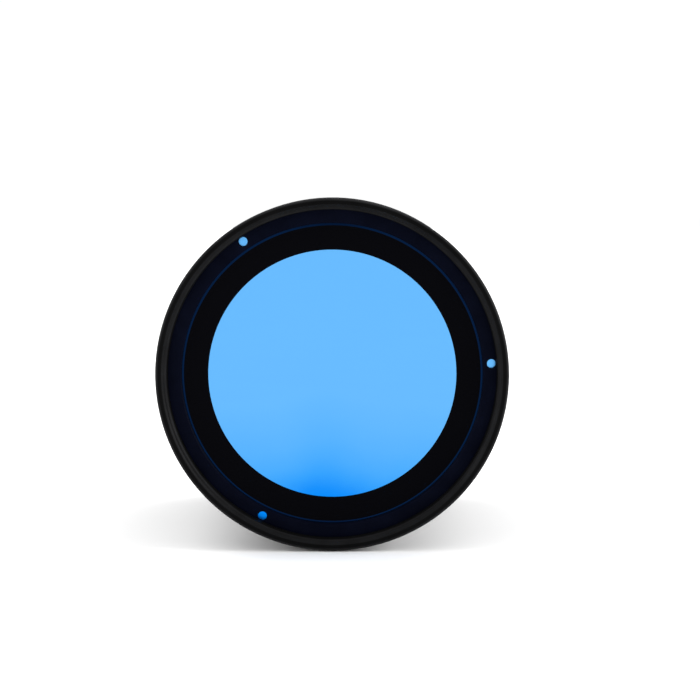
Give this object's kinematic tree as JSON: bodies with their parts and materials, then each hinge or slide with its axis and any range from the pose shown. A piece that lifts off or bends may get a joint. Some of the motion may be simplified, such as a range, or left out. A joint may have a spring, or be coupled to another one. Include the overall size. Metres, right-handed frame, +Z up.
{
  "type": "guide camera",
  "caption": "Cylindrical telescope guide camera in a 2-inch barrel, with a screw-in blue-coated filter at the nose and data and guide ports in the rear cover.",
  "frame": {"origin": "on the optical axis, on the barrel's front face, where the filter cell seats", "axes": "+Y along the optical axis towards the rear cover, so the filter faces -Y; +Z up; +X to the right of someone facing the filter"},
  "size_m": [0.0508, 0.0562, 0.0508],
  "materials": {
    "cell_anodise": "black anodised, satin, fine turning lines",
    "barrel_anodise": "black anodised, fine bead-blasted satin",
    "ring_anodise": "blue-black anodised, satin",
    "mask_black": "matte black",
    "blue_glass": "polished, bright blue reflecting coating",
    "clear_glass": "polished, anti-reflection coated",
    "seal_rubber": "matte",
    "silicon": "polished",
    "ceramic": "matte",
    "circuit_board": "solder mask",
    "connector_plastic": "moulded",
    "spacer_brass": "machined",
    "chip_epoxy": "matte",
    "screw_steel": "plated",
    "screw_black": "black oxide",
    "jack_plastic": "moulded",
    "contact_gold": "gilt",
    "port_steel": "plated",
    "lamp": "clear, diffusing"
  },
  "bodies": {
    "camera": {"barrel": "barrel_anodise", "window_ring": "mask_black", "window_glass": "clear_glass", "window_seal": "seal_rubber", "sensor_glass": "clear_glass", "sensor_die": "silicon", "sensor_package": "ceramic", "sensor_board": "circuit_board", "sensor_link_socket": "connector_plastic", "sensor_link_plug": "connector_plastic", "front_spacers": "spacer_brass", "main_board": "circuit_board", "logic_chip": "chip_epoxy", "usb_chip": "chip_epoxy", "memory_chip": "chip_epoxy", "capacitors": "ceramic", "port_link_socket": "connector_plastic", "port_link_plug": "connector_plastic", "middle_spacers": "spacer_brass", "port_board": "circuit_board", "rear_spacers": "spacer_brass", "board_screws": "screw_steel", "guide_jack": "jack_plastic", "guide_contacts": "contact_gold", "usb_shell": "port_steel", "usb_tongue": "connector_plastic", "status_led": "lamp", "light_pipe": "lamp", "rear_cover": "barrel_anodise", "rear_seal": "seal_rubber", "cover_screws": "screw_black"},
    "filter_optics": {"filter_glass": "blue_glass", "mask_ring": "mask_black"},
    "filter_ring": {"filter_cell": "cell_anodise", "retaining_ring": "ring_anodise"}
  },
  "joints": [
    {"name": "filter_slide", "type": "slide", "parent": "camera", "child": "filter_optics", "axis": [0, -1, 0], "range_m": [0, 0.00281]},
    {"name": "filter_turn", "type": "hinge", "parent": "filter_optics", "child": "filter_ring", "pos_m": [0, 0, 0], "axis": [0, -1, 0], "range_deg": [0, 1350.5]}
  ],
  "couplings": [
    {"joint": "filter_turn", "follows": "filter_slide", "rad_per_m": 8377.6}
  ]
}
